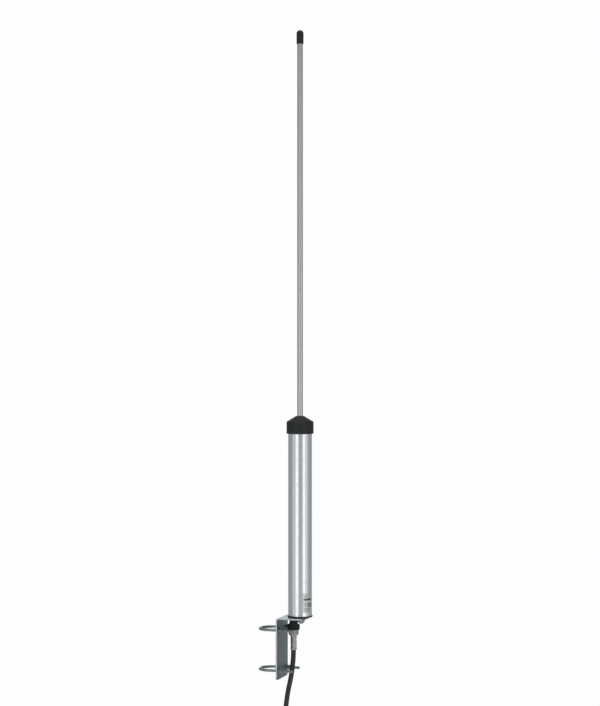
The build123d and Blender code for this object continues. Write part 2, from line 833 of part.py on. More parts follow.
with BuildPart() as socket_contact:
    with BuildSketch(socket_section):
        with BuildLine():
            Polyline(
                (pin_radius + pin_clearance, socket_bore_depth),
                (contact_radius, socket_bore_depth),
                (contact_radius, contact_floor + pin_radius),
                (contact_tail_radius, contact_floor + pin_radius),
                (contact_tail_radius, contact_top - socket_bottom),
                (0, contact_top - socket_bottom),
                (0, contact_floor),
                (pin_radius + pin_clearance, contact_floor),
                close=True,
            )
        make_face()
    revolve(axis=socket_axis)
socket_contact.part.label = "socket_contact"
export_step(socket_contact.part, "parts/socket_contact.step")

# ------------------------------------------------------------------- crimp plugs of the feeder


def turned(seat, up, outline):
    """A piece turned from an outline of (radius, distance towards the mating part) points."""
    section = Plane(origin=seat, x_dir=(1, 0, 0), z_dir=(0, -up, 0))
    with BuildPart() as piece:
        with BuildSketch(section):
            with BuildLine():
                Polyline(*outline, close=True)
            make_face()
        revolve(axis=Axis(seat, (0, 0, 1)))
    return piece.part


flange_front = -face_gap
flange_back = flange_front - plug_flange_length
coupling_shoulder = flange_back - face_gap
coupling_bore = plug_body_radius + coupling_clearance
body_back = -plug_body_length
mandrel_end = body_back - plug_mandrel_length
ferrule_end = body_back - ferrule_length
ferrule_bore = cable_radius + face_gap / 2
insulator_back = plug_collar_length - plug_insulator_length
plug_outlines = {
    "plug_body": [
        (plug_insulator_radius, plug_collar_length),
        (plug_collar_radius, plug_collar_length),
        (plug_collar_radius, flange_front),
        (plug_flange_radius, flange_front),
        (plug_flange_radius, flange_back),
        (plug_body_radius, flange_back),
        (plug_body_radius, body_back),
        (plug_mandrel_radius, body_back),
        (plug_mandrel_radius, mandrel_end),
        (pin_radius + plug_core_clearance, mandrel_end),
        (pin_radius + plug_core_clearance, insulator_back),
        (plug_insulator_radius, insulator_back),
    ],
    "plug_insulator": [
        (pin_shank_radius, plug_collar_length),
        (plug_insulator_radius, plug_collar_length),
        (plug_insulator_radius, insulator_back),
        (pin_shank_radius, insulator_back),
    ],
    "plug_pin": [
        (0, insulator_back - pin_radius),
        (pin_shank_radius, insulator_back - pin_radius),
        (pin_shank_radius, plug_collar_length),
        (pin_radius, plug_collar_length),
        (pin_radius, pin_length - pin_radius / 2),
        (pin_radius / 2, pin_length),
        (0, pin_length),
    ],
    "plug_coupling_nut": [
        (coupling_thread_radius, coupling_shoulder),
        (coupling_thread_radius, coupling_front - rod_chamfer),
        (coupling_thread_radius + rod_chamfer, coupling_front),
        (coupling_radius - rod_chamfer / 2, coupling_front),
        (coupling_radius, coupling_front - rod_chamfer / 2),
        (coupling_radius, -coupling_back),
        (coupling_taper_radius, -coupling_back - coupling_taper),
        (coupling_bore, -coupling_back - coupling_taper),
        (coupling_bore, coupling_shoulder),
    ],
    "plug_grip": [
        (coupling_radius, grip_front),
        (grip_radius - grip_chamfer, grip_front),
        (grip_radius, grip_front - grip_chamfer),
        (grip_radius, grip_front - grip_length + grip_chamfer),
        (grip_radius - grip_chamfer, grip_front - grip_length),
        (coupling_radius, grip_front - grip_length),
    ],
    "plug_ferrule": [
        (ferrule_bore, body_back - face_gap / 4),
        (ferrule_radius - face_gap, body_back - face_gap / 4),
        (ferrule_radius, body_back - rod_chamfer),
        (ferrule_radius, ferrule_end + rod_chamfer / 2),
        (ferrule_radius - rod_chamfer / 2, ferrule_end),
        (ferrule_bore, ferrule_end),
    ],
}
for prefix, seat, up in (("feeder", feeder_plug_seat, 1), ("line", line_plug_seat, -1)):
    for name, outline in plug_outlines.items():
        piece = turned(seat, up, outline)
        piece.label = f"{prefix}_{name}"
        export_step(piece, f"parts/{prefix}_{name}.step")

# --------------------------------------------------------------------------------- feeder cable

cable_top = feeder_plug_seat[2] - cable_end_inset
cable_bottom = line_plug_seat[2] + cable_end_inset
route = [
    (socket_x, socket_y, cable_top),
    (socket_x, socket_y, -14.0),
    (plate_back + 25.1, -7.0, -53.7),
    (plate_back + 15.6, -6.7, -94.5),
    (plate_back + 11.2, -6.1, -134.0),
    (plate_back + 11.0, -5.6, -182.0),
    (plate_back + 13.0, -5.3, -244.0),
    (line_plug_x, line_plug_side, -301.0),
    (line_plug_x, line_plug_side, cable_bottom),
]


def corner_radii(points):
    """For each inner point, a share of its shorter run divided by the tangent of half its turn."""
    radii = []
    for before, here, after in zip(points, points[1:], points[2:]):
        arriving = Vector(*here) - Vector(*before)
        leaving = Vector(*after) - Vector(*here)
        half_turn = math.radians(arriving.get_angle(leaving)) / 2
        shorter = min(arriving.length, leaving.length)
        radii.append(corner_share * shorter / math.tan(half_turn))
    return radii


cable_radii = corner_radii(route)
print("cable arc radii", [round(radius) for radius in cable_radii])
with BuildPart() as cable:
    with BuildLine() as cable_line:
        FilletPolyline(*route, radius=cable_radii)
    with BuildSketch(Plane(origin=route[0], z_dir=(0, 0, -1))):
        Circle(cable_radius)
    sweep()
cable.part.label = "cable"
export_step(cable.part, "parts/cable.step")
cable_length = sum(edge.length for edge in cable_line.edges())
section_volume = math.pi * cable_radius**2 * cable_length
print("cable length", round(cable_length, 1), "volume share", cable.part.volume / section_volume)
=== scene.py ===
"""Looks of a base-station omnidirectional antenna on its mast bracket, with a short feeder tail.

Metres, +Z up. The origin is on the axis of the mast that the two U-bolts clamp, half way between
them, and +X points from the mast to the antenna.
"""

import json
import logging
import math
from dataclasses import dataclass
from enum import Enum

import bmesh
import bpy
import numpy as np
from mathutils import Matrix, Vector


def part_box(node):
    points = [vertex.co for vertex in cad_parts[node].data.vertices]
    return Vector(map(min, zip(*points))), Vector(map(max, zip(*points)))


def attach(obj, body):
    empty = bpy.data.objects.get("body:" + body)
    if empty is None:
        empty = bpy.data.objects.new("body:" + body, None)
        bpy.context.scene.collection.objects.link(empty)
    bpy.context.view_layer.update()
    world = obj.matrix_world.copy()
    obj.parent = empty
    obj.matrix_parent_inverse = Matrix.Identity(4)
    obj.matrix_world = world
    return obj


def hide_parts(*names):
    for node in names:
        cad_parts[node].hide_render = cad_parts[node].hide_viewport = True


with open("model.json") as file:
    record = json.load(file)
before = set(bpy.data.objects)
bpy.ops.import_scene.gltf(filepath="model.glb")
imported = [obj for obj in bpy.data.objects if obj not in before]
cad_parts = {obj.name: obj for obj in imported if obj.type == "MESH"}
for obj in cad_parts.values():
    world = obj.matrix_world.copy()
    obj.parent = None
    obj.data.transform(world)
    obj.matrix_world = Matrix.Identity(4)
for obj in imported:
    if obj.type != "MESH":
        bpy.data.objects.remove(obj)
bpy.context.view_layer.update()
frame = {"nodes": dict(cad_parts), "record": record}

log = logging.getLogger("antenna")

SHARP_ANGLE = math.radians(34.0)
FULL_TURN = 2.0 * math.pi

# A pattern's stretch and its range, and how far a surface is metal.
EVEN = (1.0, 1.0, 1.0)
WHOLE = (0.0, 1.0)
WIDE_RANGE = (0.2, 0.8)
NARROW_RANGE = (0.3, 0.7)
BARE_METAL = 1.0
NOT_METAL = 0.0

# Noise patterns: spots per metre, finer octaves and their strength.
METAL_CLOUDS = (38.0, 4.0, 0.6)
METAL_MARKS = (420.0, 5.0, 0.7)
POLYMER_CLOUDS = (26.0, 5.0, 0.65)
POLYMER_SPECKS = (900.0, 2.0, 0.5)
FOIL_LINES = (2600.0, 3.0, 0.6, (1.0, 1.0, 0.03))
FOIL_CLOUDS = (60.0, 4.0, 0.6)

# How the patterns are weighed against each other, and which part of their range counts.
STAIN_RANGE = (0.24, 0.42)
METAL_CLOUD_SHINE = 0.5
MARK_RELIEF = 0.25
# The soft border of the painted highlight on the plate's edges, in metres.
EDGE_HIGHLIGHT_BLUR = 0.0002
SPANGLE_CLOUD = (2.6, 4.0, 0.65)
SPANGLE_SHARES = (0.45, 0.55)
GRAIN_DETAIL = (4.0, 0.6)
DRAWN_STRETCH = (1.0, 1.0, 0.012)
DRAWN_SHARES = (0.8, 0.2)
DRAWN_CLOUD = (0.8, 2.0)
TURNED_STRETCH = (0.06, 0.06, 1.0)
PEBBLE_DETAIL = (3.0, 0.6)
BLOOM_RANGE = (0.2, 0.4)
POLYMER_SHINE_RANGE = (0.25, 0.75)
POLYMER_CLOUD_SHINE = 0.6


# ------------------------------------------------------------------------------ shader building


class Grain(Enum):
    """How a finish varies over a surface."""

    SPANGLE = "zinc crystals of a dipped coat"
    DRAWN = "fine lines along the length"
    TURNED = "fine rings round the length"
    PLATED = "an even coat with faint clouds"


class ShaderGraph:
    """A node material that is put together one step at a time."""

    def __init__(self, name: str) -> None:
        """Starts a material with a Principled shader joined to its output.

        Args:
            name: the material's name.
        """
        self.material = bpy.data.materials.new(name)
        self.material.use_nodes = True
        self.tree = self.material.node_tree
        self.shader = self.tree.nodes["Principled BSDF"]

    def add(self, kind: str, **settings: object) -> bpy.types.Node:
        """Adds one node.

        Args:
            kind: the node's type name.
            settings: the node's own properties.

        Returns:
            The new node.
        """
        node = self.tree.nodes.new(kind)
        for name, value in settings.items():
            setattr(node, name, value)
        return node

    def join(self, source: bpy.types.NodeSocket, target: bpy.types.NodeSocket) -> None:
        """Links an output to an input."""
        self.tree.links.new(source, target)

    def place(self, stretch: tuple[float, float, float]) -> bpy.types.NodeSocket:
        """Object coordinates, scaled along each axis.

        Args:
            stretch: the scale along X, Y and Z.

        Returns:
            The scaled coordinates.
        """
        coordinates = self.add("ShaderNodeTexCoord")
        mapping = self.add("ShaderNodeMapping")
        mapping.inputs["Scale"].default_value = stretch
        self.join(coordinates.outputs["Object"], mapping.inputs["Vector"])
        return mapping.outputs["Vector"]

    def noise(
        self,
        scale: float,
        detail: float = 3.0,
        roughness: float = 0.55,
        stretch: tuple[float, float, float] = EVEN,
    ) -> bpy.types.NodeSocket:
        """A noise pattern on object coordinates.

        Args:
            scale: spots per metre.
            detail: how many finer octaves are added.
            roughness: how strong the finer octaves are.
            stretch: the scale along each axis.

        Returns:
            The pattern's value, about 0 to 1.
        """
        node = self.add("ShaderNodeTexNoise")
        node.inputs["Scale"].default_value = scale
        node.inputs["Detail"].default_value = detail
        node.inputs["Roughness"].default_value = roughness
        self.join(self.place(stretch), node.inputs["Vector"])
        return node.outputs["Fac"]

    def crystals(self, scale: float) -> bpy.types.NodeSocket:
        """A pattern of flat grains with straight sides.

        Args:
            scale: grains per metre.

        Returns:
            A colour that is one for each grain.
        """
        node = self.add("ShaderNodeTexVoronoi")
        node.inputs["Scale"].default_value = scale
        self.join(self.place(EVEN), node.inputs["Vector"])
        return node.outputs["Color"]

    def sums(
        self,
        operation: str,
        first: bpy.types.NodeSocket,
        second: bpy.types.NodeSocket | float = 0.0,
        third: float = 0.0,
    ) -> bpy.types.NodeSocket:
        """One step of arithmetic.

        Args:
            operation: the arithmetic's name.
            first: the first value.
            second: the second value, a socket or a number.
            third: the third value.

        Returns:
            The result.
        """
        node = self.add("ShaderNodeMath", operation=operation)
        self.join(first, node.inputs[0])
        if isinstance(second, bpy.types.NodeSocket):
            self.join(second, node.inputs[1])
        else:
            node.inputs[1].default_value = second
        node.inputs[2].default_value = third
        return node.outputs[0]

    def spread(
        self, value: bpy.types.NodeSocket, source: tuple[float, float], to: tuple[float, float]
    ) -> bpy.types.NodeSocket:
        """Carries a value from one range to another and holds it there.

        Args:
            value: the value.
            source: the range that it has.
            to: the range that it gets.

        Returns:
            The new value.
        """
        node = self.add("ShaderNodeMapRange")
        self.join(value, node.inputs["Value"])
        for name, number in zip(("From Min", "From Max", "To Min", "To Max"), (*source, *to)):
            node.inputs[name].default_value = number
        return node.outputs["Result"]

    def blend(
        self,
        share: bpy.types.NodeSocket,
        low: tuple[float, float, float] | bpy.types.NodeSocket,
        high: tuple[float, float, float],
    ) -> bpy.types.NodeSocket:
        """A colour between two others.

        Args:
            share: how much of the second colour shows.
            low: the first colour, or a socket that gives it.
            high: the second colour.

        Returns:
            The colour.
        """
        node = self.add("ShaderNodeMix", data_type="RGBA")
        self.join(share, node.inputs[0])
        if isinstance(low, bpy.types.NodeSocket):
            self.join(low, node.inputs[6])
        else:
            node.inputs[6].default_value = (*low, 1.0)
        node.inputs[7].default_value = (*high, 1.0)
        return node.outputs[2]

    def relief(self, height: bpy.types.NodeSocket, strength: float, depth: float) -> None:
        """Gives the surface a fine relief.

        Args:
            height: the pattern that is raised.
            strength: how much of the relief shows.
            depth: the pattern's height in metres.
        """
        node = self.add("ShaderNodeBump")
        node.inputs["Strength"].default_value = strength
        node.inputs["Distance"].default_value = depth
        self.join(height, node.inputs["Height"])
        self.join(node.outputs["Normal"], self.shader.inputs["Normal"])

    def finish(
        self,
        colour: bpy.types.NodeSocket,
        roughness: bpy.types.NodeSocket,
        metallic: float,
        specular: float = 0.5,
        coat: float = 0.0,
    ) -> bpy.types.Material:
        """Joins the patterns to the shader.

        Args:
            colour: the base colour.
            roughness: the roughness.
            metallic: 1 for bare metal and 0 for anything else.
            specular: the strength of a non-metal's reflection.
            coat: the weight of a clear coat.

        Returns:
            The finished material.
        """
        self.join(colour, self.shader.inputs["Base Color"])
        self.join(roughness, self.shader.inputs["Roughness"])
        self.shader.inputs["Metallic"].default_value = metallic
        self.shader.inputs["Specular IOR Level"].default_value = specular
        self.shader.inputs["Coat Weight"].default_value = coat
        return self.material


# ---------------------------------------------------------------------------------- the finishes


@dataclass(frozen=True)
class MetalFinish:
    """Bare or coated metal.

    low and high are the colours that the surface varies between, roughness its lowest and highest
    roughness, and scale the size of the pattern in spots per metre. Where the edge reach isn't 0,
    what lies further than it from the middle plane gets the brighter colour rim: a painted
    highlight standing in for the lamps' reflection on the plate's edges.
    """

    slot: str
    grain: Grain
    low: tuple[float, float, float]
    high: tuple[float, float, float]
    roughness: tuple[float, float]
    scale: float
    relief: float
    depth: float = 0.00012
    stain: tuple[float, float, float] = (0.12, 0.12, 0.12)
    stain_share: float = 0.12
    highlight_reach: float = 0.0
    rim: tuple[float, float, float] = (0.5, 0.5, 0.5)

    def material(self) -> bpy.types.Material:
        """Builds the finish's pattern, its slow stains and its relief.

        Returns:
            The material.
        """
        graph = ShaderGraph(self.slot)
        fine = self._pattern(graph)
        clouds = graph.noise(*METAL_CLOUDS)
        marks = graph.noise(*METAL_MARKS)
        tone = graph.blend(graph.spread(fine, WIDE_RANGE, WHOLE), self.low, self.high)
        spots = graph.sums("MULTIPLY", clouds, marks)
        worn = graph.spread(spots, STAIN_RANGE, (0.0, self.stain_share))
        colour = graph.blend(worn, tone, self.stain)
        # Painted highlight: the plate's edges get a brighter colour where the lamps' reflection
        # falls.
        if self.highlight_reach:
            colour = self._paint_edge_highlight(graph, colour)
        shine = graph.sums("MULTIPLY_ADD", clouds, METAL_CLOUD_SHINE, -METAL_CLOUD_SHINE / 2)
        shine = graph.sums("ADD", fine, shine)
        rough = graph.spread(shine, WIDE_RANGE, self.roughness)
        height = graph.sums("ADD", fine, graph.sums("MULTIPLY", marks, MARK_RELIEF))
        graph.relief(height, self.relief, self.depth)
        return graph.finish(colour, rough, BARE_METAL)

    def _paint_edge_highlight(
        self, graph: ShaderGraph, colour: bpy.types.NodeSocket
    ) -> bpy.types.NodeSocket:
        """Paints a highlight on the plate's cut edges on the two sides of the middle plane, where
        the lamps' reflection falls.

        Args:
            graph: the material that is being made.
            colour: the colour of the rest.

        Returns:
            The colour with its painted edge highlight.
        """
        parts = graph.add("ShaderNodeSeparateXYZ")
        graph.join(graph.place(EVEN), parts.inputs["Vector"])
        side = graph.sums("ABSOLUTE", parts.outputs["Y"])
        share = graph.spread(side, (self.highlight_reach - EDGE_HIGHLIGHT_BLUR, self.highlight_reach), WHOLE)
        return graph.blend(share, colour, self.rim)

    def _pattern(self, graph: ShaderGraph) -> bpy.types.NodeSocket:
        """The pattern that gives the grain its look.

        Args:
            graph: the material that is being made.

        Returns:
            A value from about 0 to 1.
        """
        if self.grain is Grain.SPANGLE:
            colour = graph.crystals(self.scale)
            split = graph.add("ShaderNodeSeparateColor")
            graph.join(colour, split.inputs["Color"])
            step, *detail = SPANGLE_CLOUD
            even = graph.noise(self.scale * step, *detail)
            return graph.sums(
                "ADD",
                graph.sums("MULTIPLY", split.outputs["Red"], SPANGLE_SHARES[0]),
                graph.sums("MULTIPLY", even, SPANGLE_SHARES[1]),
            )
        if self.grain is Grain.DRAWN:
            step, *detail = DRAWN_CLOUD
            lines = graph.noise(self.scale, *GRAIN_DETAIL, DRAWN_STRETCH)
            return graph.sums(
                "ADD",
                graph.sums("MULTIPLY", lines, DRAWN_SHARES[0]),
                graph.sums("MULTIPLY", graph.noise(self.scale * step, *detail), DRAWN_SHARES[1]),
            )
        if self.grain is Grain.TURNED:
            return graph.noise(self.scale, *GRAIN_DETAIL, TURNED_STRETCH)
        return graph.noise(self.scale, *GRAIN_DETAIL)


@dataclass(frozen=True)
class PolymerFinish:
    """Plastic or rubber.

    low and high are the colours that the surface varies between, and dust is the pale bloom that
    weather leaves on it, with its share at the most.
    """

    slot: str
    low: tuple[float, float, float]
    high: tuple[float, float, float]
    roughness: tuple[float, float]
    scale: float
    relief: float
    depth: float = 0.0001
    specular: float = 0.45
    dust: tuple[float, float, float] = (0.16, 0.17, 0.17)
    dust_share: float = 0.1
    stretch: tuple[float, float, float] = EVEN

    def material(self) -> bpy.types.Material:
        """Builds the moulded pebble, the clouds of bloom and the relief.

        Returns:
            The material.
        """
        graph = ShaderGraph(self.slot)
        pebble = graph.noise(self.scale, *PEBBLE_DETAIL, self.stretch)
        clouds = graph.noise(*POLYMER_CLOUDS)
        specks = graph.noise(*POLYMER_SPECKS)
        tone = graph.blend(graph.spread(clouds, NARROW_RANGE, WHOLE), self.low, self.high)
        spots = graph.sums("MULTIPLY", clouds, specks)
        bloom = graph.spread(spots, BLOOM_RANGE, (0.0, self.dust_share))
        colour = graph.blend(bloom, tone, self.dust)
        shine = graph.sums("MULTIPLY_ADD", clouds, POLYMER_CLOUD_SHINE, -POLYMER_CLOUD_SHINE / 2)
        shine = graph.sums("ADD", pebble, shine)
        rough = graph.spread(shine, POLYMER_SHINE_RANGE, self.roughness)
        graph.relief(pebble, self.relief, self.depth)
        return graph.finish(colour, rough, NOT_METAL, self.specular)


@dataclass(frozen=True)
class FoilFinish:
    """The rating label: brushed foil with plain dark bars where lettering would be.

    axis_x is the tube's axis, middle the direction that the label faces in radians, and each bar is
    (angle from the middle, half its angle, level, half its height, darkness).
    """

    slot: str
    axis_x: float
    middle: float
    foil: tuple[float, float, float]
    foil_bright: tuple[float, float, float]
    ink: tuple[float, float, float]
    bars: tuple[tuple[float, float, float, float, float], ...]
    fade_range: tuple[float, float] = (0.35, 0.7)
    fade: tuple[float, float] = (1.0, 0.8)
    relief: float = 0.15
    depth: float = 0.00005
    roughness: tuple[float, float] = (0.3, 0.42)
    metallic: float = 0.55
    specular: float = 0.5
    coat: float = 0.25

    def material(self) -> bpy.types.Material:
        """Builds the foil's fine lines and covers them with the bars.

        Returns:
            The material.
        """
        graph = ShaderGraph(self.slot)
        coordinates = graph.add("ShaderNodeTexCoord")
        parts = graph.add("ShaderNodeSeparateXYZ")
        graph.join(coordinates.outputs["Object"], parts.inputs["Vector"])
        across = graph.sums("SUBTRACT", parts.outputs["X"], self.axis_x)
        turn = graph.sums("ARCTAN2", parts.outputs["Y"], across)
        angle = graph.sums("SUBTRACT", turn, self.middle)
        lines = graph.noise(*FOIL_LINES)
        clouds = graph.noise(*FOIL_CLOUDS)
        share = graph.spread(lines, NARROW_RANGE, WHOLE)
        colour = graph.blend(share, self.foil, self.foil_bright)
        cover = None
        for place, half_arc, level, half_height, darkness in self.bars:
            side = graph.sums("ABSOLUTE", graph.sums("SUBTRACT", angle, place))
            rise = graph.sums("ABSOLUTE", graph.sums("SUBTRACT", parts.outputs["Z"], level))
            inside = graph.sums(
                "MULTIPLY",
                graph.sums("LESS_THAN", side, half_arc),
                graph.sums("LESS_THAN", rise, half_height),
            )
            inside = graph.sums("MULTIPLY", inside, darkness)
            cover = inside if cover is None else graph.sums("MAXIMUM", cover, inside)
        faded = graph.sums("MULTIPLY", cover, graph.spread(clouds, self.fade_range, self.fade))
        colour = graph.blend(faded, colour, self.ink)
        graph.relief(lines, self.relief, self.depth)
        rough = graph.spread(clouds, NARROW_RANGE, self.roughness)
        return graph.finish(colour, rough, self.metallic, self.specular, self.coat)


@dataclass(frozen=True)
class FinishBook:
    """Every finish of the antenna, by the record's material slot."""

    finishes: tuple[MetalFinish | PolymerFinish | FoilFinish, ...]

    def materials(self) -> dict[str, bpy.types.Material]:
        """The finished materials.

        Returns:
            Each slot's material.
        """
        return {finish.slot: finish.material() for finish in self.finishes}


LABEL_MIDDLE = math.radians(-28.0)
LABEL_BARS = (
    (0.00, 0.50, 0.1180, 0.00025, 0.45),
    (-0.30, 0.20, 0.1148, 0.0008, 0.45),
    (-0.06, 0.42, 0.1083, 0.0021, 0.92),
    (0.16, 0.28, 0.0987, 0.0016, 0.8),
    (0.16, 0.28, 0.0946, 0.0016, 0.75),
    (-0.34, 0.14, 0.0997, 0.0006, 0.55),
    (-0.34, 0.14, 0.0972, 0.0006, 0.55),
    (-0.34, 0.14, 0.0947, 0.0006, 0.55),
    (-0.12, 0.36, 0.0892, 0.0007, 0.55),
    (-0.12, 0.36, 0.0867, 0.0007, 0.55),
    (-0.20, 0.28, 0.0842, 0.0007, 0.55),
)

FINISHES = FinishBook(
    (
        # The galvanised plate's brighter edge colour is a painted highlight, standing in for the
        # lamps' reflection on its edges.
        MetalFinish("galvanised_steel", Grain.SPANGLE, (0.22, 0.255, 0.265), (0.31, 0.35, 0.36),
                    (0.4, 0.56), 260.0, 0.2, stain=(0.13, 0.155, 0.16), stain_share=0.35,
                    highlight_reach=0.0378, rim=(0.40, 0.44, 0.46)),
        MetalFinish("stainless_steel", Grain.TURNED, (0.27, 0.28, 0.285), (0.39, 0.40, 0.405),
                    (0.26, 0.4), 1800.0, 0.12),
        MetalFinish("tube_aluminium", Grain.DRAWN, (0.66, 0.675, 0.69), (0.77, 0.785, 0.80),
                    (0.3, 0.38), 900.0, 0.1, depth=0.00003, stain=(0.42, 0.43, 0.44)),
        MetalFinish("whip_aluminium", Grain.DRAWN, (0.48, 0.485, 0.49), (0.57, 0.577, 0.58),
                    (0.36, 0.46), 1500.0, 0.15, depth=0.00004, stain=(0.3, 0.31, 0.31)),
        MetalFinish("inner_aluminium", Grain.TURNED, (0.6, 0.61, 0.62), (0.78, 0.79, 0.8),
                    (0.24, 0.4), 1400.0, 0.25),
        PolymerFinish("black_plastic", (0.0085, 0.0105, 0.0115), (0.013, 0.0155, 0.0165),
                      (0.5, 0.64), 1900.0, 0.3, depth=0.00005, specular=0.35, dust_share=0.06),
        PolymerFinish("black_rubber", (0.008, 0.009, 0.0105), (0.014, 0.0155, 0.017),
                      (0.6, 0.78), 1300.0, 0.35, specular=0.25, dust_share=0.08),
        PolymerFinish("cable_jacket", (0.012, 0.0135, 0.0145), (0.018, 0.0195, 0.021),
                      (0.42, 0.56), 700.0, 0.25, depth=0.0001, specular=0.35, dust_share=0.08,
                      stretch=(1.0, 1.0, 0.25)),
        PolymerFinish("white_insulation", (0.78, 0.78, 0.76), (0.86, 0.86, 0.84),
                      (0.35, 0.5), 900.0, 0.15, dust=(0.6, 0.58, 0.52), dust_share=0.2),
        MetalFinish("nickel_plated_brass", Grain.PLATED, (0.29, 0.305, 0.295), (0.38, 0.395, 0.38),
                    (0.34, 0.42), 260.0, 0.03, depth=0.00002, stain=(0.2, 0.2, 0.18)),
        MetalFinish("plain_brass", Grain.TURNED, (0.60, 0.42, 0.16), (0.75, 0.56, 0.26),
                    (0.24, 0.4), 1500.0, 0.2, stain=(0.3, 0.2, 0.08), stain_share=0.2),
        FoilFinish("label_foil", 0.063, LABEL_MIDDLE, (0.50, 0.51, 0.52), (0.62, 0.63, 0.64),
                   (0.045, 0.05, 0.055), LABEL_BARS),
    )
)


# ------------------------------------------------------------------------------------- surfaces


def surface_piece(name: str, grid: np.ndarray, ring: bool = False) -> bpy.types.Object:
    """Makes a closed piece from a grid of points whose columns run round it.

    Each cell of the grid is one four-sided face, and the last column joins the first. A ring's
    last row joins its first. Any other piece is closed by a point in the middle of each end row.

    Args:
        name: the piece's name.
        grid: the points, rows by columns by three.
        ring: whether the rows close on themselves.

    Returns:
        The piece, with smooth faces and sharp edges where its faces turn by a lot.
    """
    rows, columns = grid.shape[:2]
    number = np.arange(rows * columns).reshape(rows, columns)
    lower, upper = (number, np.roll(number, -1, 0)) if ring else (number[:-1], number[1:])
    corners = [lower, np.roll(lower, -1, 1), np.roll(upper, -1, 1), upper]
    faces = np.stack(corners, -1).reshape(-1, 4).tolist()
    points = grid.reshape(-1, 3)
    if not ring:
        middle = rows * columns
        points = np.concatenate([points, [grid[0].mean(0), grid[-1].mean(0)]])
        around = np.roll(number, -1, 1)
        start = np.stack([np.full(columns, middle), around[0], number[0]], -1)
        stop = np.stack([np.full(columns, middle + 1), number[-1], around[-1]], -1)
        faces += start.tolist() + stop.tolist()
    mesh = bpy.data.meshes.new(name)
    mesh.from_pydata(points.tolist(), [], faces)
    mesh.polygons.foreach_set("use_smooth", np.ones(len(mesh.polygons), bool))
    mesh.set_sharp_from_angle(angle=SHARP_ANGLE)
    mesh.update()
    piece = bpy.data.objects.new(name, mesh)
    bpy.context.scene.collection.objects.link(piece)
    return piece


def round_angles(count: int) -> np.ndarray:
    """Evenly spaced angles of one full turn."""
    return np.linspace(0.0, FULL_TURN, count, endpoint=False)


def saw(phase: np.ndarray) -> np.ndarray:
    """A straight-sided wave: 0 at whole numbers, 1 half way between them."""
    return 1.0 - np.abs(2.0 * np.mod(phase, 1.0) - 1.0)


def upright_grid(
    radii: np.ndarray, levels: np.ndarray, centre: tuple[float, float]
) -> np.ndarray:
    """Points of a turned surface about a vertical axis.

    A point at radius r, angle a and level z is (x + r cos a, y + r sin a, z), where x and y are the
    axis's place. The rows run up the outside, so that the faces look outwards.

    Args:
        radii: the radius of each row and column.
        levels: the level of each row.
        centre: the axis's x and y.

    Returns:
        The points, rows by columns by three.
    """
    angles = round_angles(radii.shape[1])
    heights = np.broadcast_to(levels[:, None], radii.shape)
    return np.stack(
        [centre[0] + radii * np.cos(angles), centre[1] + radii * np.sin(angles), heights], -1
    )


# ----------------------------------------------------------------------------------- the clamps


@dataclass
class ThreadedUBolt:
    """A round-rod U-bolt that lies level, with a thread cut on both legs.

    rod_ease is the share of the rod's radius that its surface keeps.
    """

    node: str
    body: str
    rod_radius: float = 0.003
    rod_ease: float = 0.995
    leg_side: float = 0.0255
    bend_centre: float = 0.0013
    pitch: float = 0.001
    thread_depth: float = 0.00052
    thread_reach: float = 0.037
    runout: float = 0.003
    tip_chamfer: float = 0.0008
    rows_per_pitch: int = 6
    leg_rows: int = 4
    bend_rows: int = 56
    columns: int = 24

    def build(self, materials: dict[str, bpy.types.Material]) -> bpy.types.Object:
        """Builds the rod and puts it in the place of its node.

        Args:
            materials: the finished materials by slot.

        Returns:
            The piece.
        """
        low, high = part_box(self.node)
        level = (low.z + high.z) / 2
        piece = surface_piece(self.node + "_threaded", self._points(high.x, level))
        return dress(piece, self.body, "galvanised_steel", materials, self.node)

    def _points(self, rod_end: float, level: float) -> np.ndarray:
        """The rod's surface along its centre line.

        The line runs down one leg, round the half circle and out along the other leg. At distance
        s along it the surface is a circle of radius r(s, a) = ease x rod radius - depth x saw(s /
        pitch - a / full turn), where the depth falls to nothing over the thread's runout, and the
        ends are chamfered.

        Args:
            rod_end: the x of the rod's ends.
            level: the z of the rod's centre line.

        Returns:
            The points.
        """
        leg = rod_end - self.bend_centre
        bend = math.pi * self.leg_side
        whole = 2 * leg + bend
        cut = np.arange(0, self.thread_reach, self.pitch / self.rows_per_pitch)
        plain = np.linspace(self.thread_reach, leg, self.leg_rows)
        turn = np.linspace(leg, leg + bend, self.bend_rows)[1:-1]
        half = np.concatenate([cut, plain])
        along = np.concatenate([half, turn, whole - half[::-1]])
        from_end = np.minimum(along, whole - along)
        swing = np.clip((along - leg) / self.leg_side, 0.0, math.pi)
        straight = np.where(along < leg, along, np.where(along > leg + bend, whole - along, leg))
        bend_x = self.bend_centre - self.leg_side * np.sin(swing)
        centre_x = np.where(straight < leg, rod_end - straight, bend_x)
        centre_y = -self.leg_side * np.cos(swing)
        normal = np.stack([-np.sin(swing), -np.cos(swing)], -1)[:, None, :]
        angles = round_angles(self.columns)
        fade = np.clip((self.thread_reach - from_end) / self.runout, 0.0, 1.0)
        wave = saw(along[:, None] / self.pitch - angles / FULL_TURN)
        radii = self.rod_radius * self.rod_ease - self.thread_depth * fade[:, None] * wave
        radii = np.minimum(radii, (self.rod_radius - self.tip_chamfer + from_end)[:, None])
        centre = np.stack([centre_x, centre_y], -1)[:, None, :]
        across = centre + normal * (np.cos(angles) * radii)[..., None]
        return np.concatenate([across, (level + np.sin(angles) * radii)[..., None]], -1)


